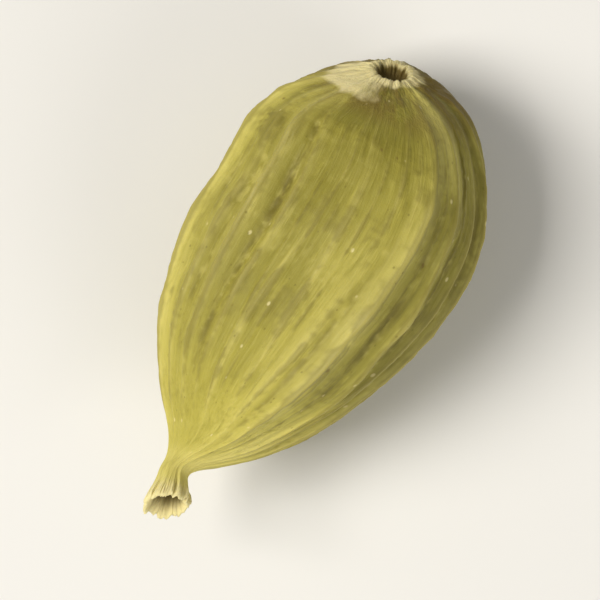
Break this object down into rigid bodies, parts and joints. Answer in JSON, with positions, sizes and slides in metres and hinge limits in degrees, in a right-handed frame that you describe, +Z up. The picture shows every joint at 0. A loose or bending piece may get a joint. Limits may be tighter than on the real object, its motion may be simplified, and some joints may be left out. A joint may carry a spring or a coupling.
{
  "type": "green cardamom pod",
  "caption": "Dried green cardamom pod lying on its side: a ribbed, bluntly three-cornered husk with a hollow beak and a stalk scar.",
  "frame": {"origin": "on the resting surface, under the middle of the pod's bounding box", "axes": "+X along the pod towards its beak, +Z up from the resting surface, +Y towards the side that the upper corner is nearer to"},
  "size_m": [0.0152, 0.0082, 0.0068],
  "materials": {
    "husk": "dry, papery, matt"
  },
  "bodies": {
    "root": {"pod": "husk"}
  },
  "joints": []
}
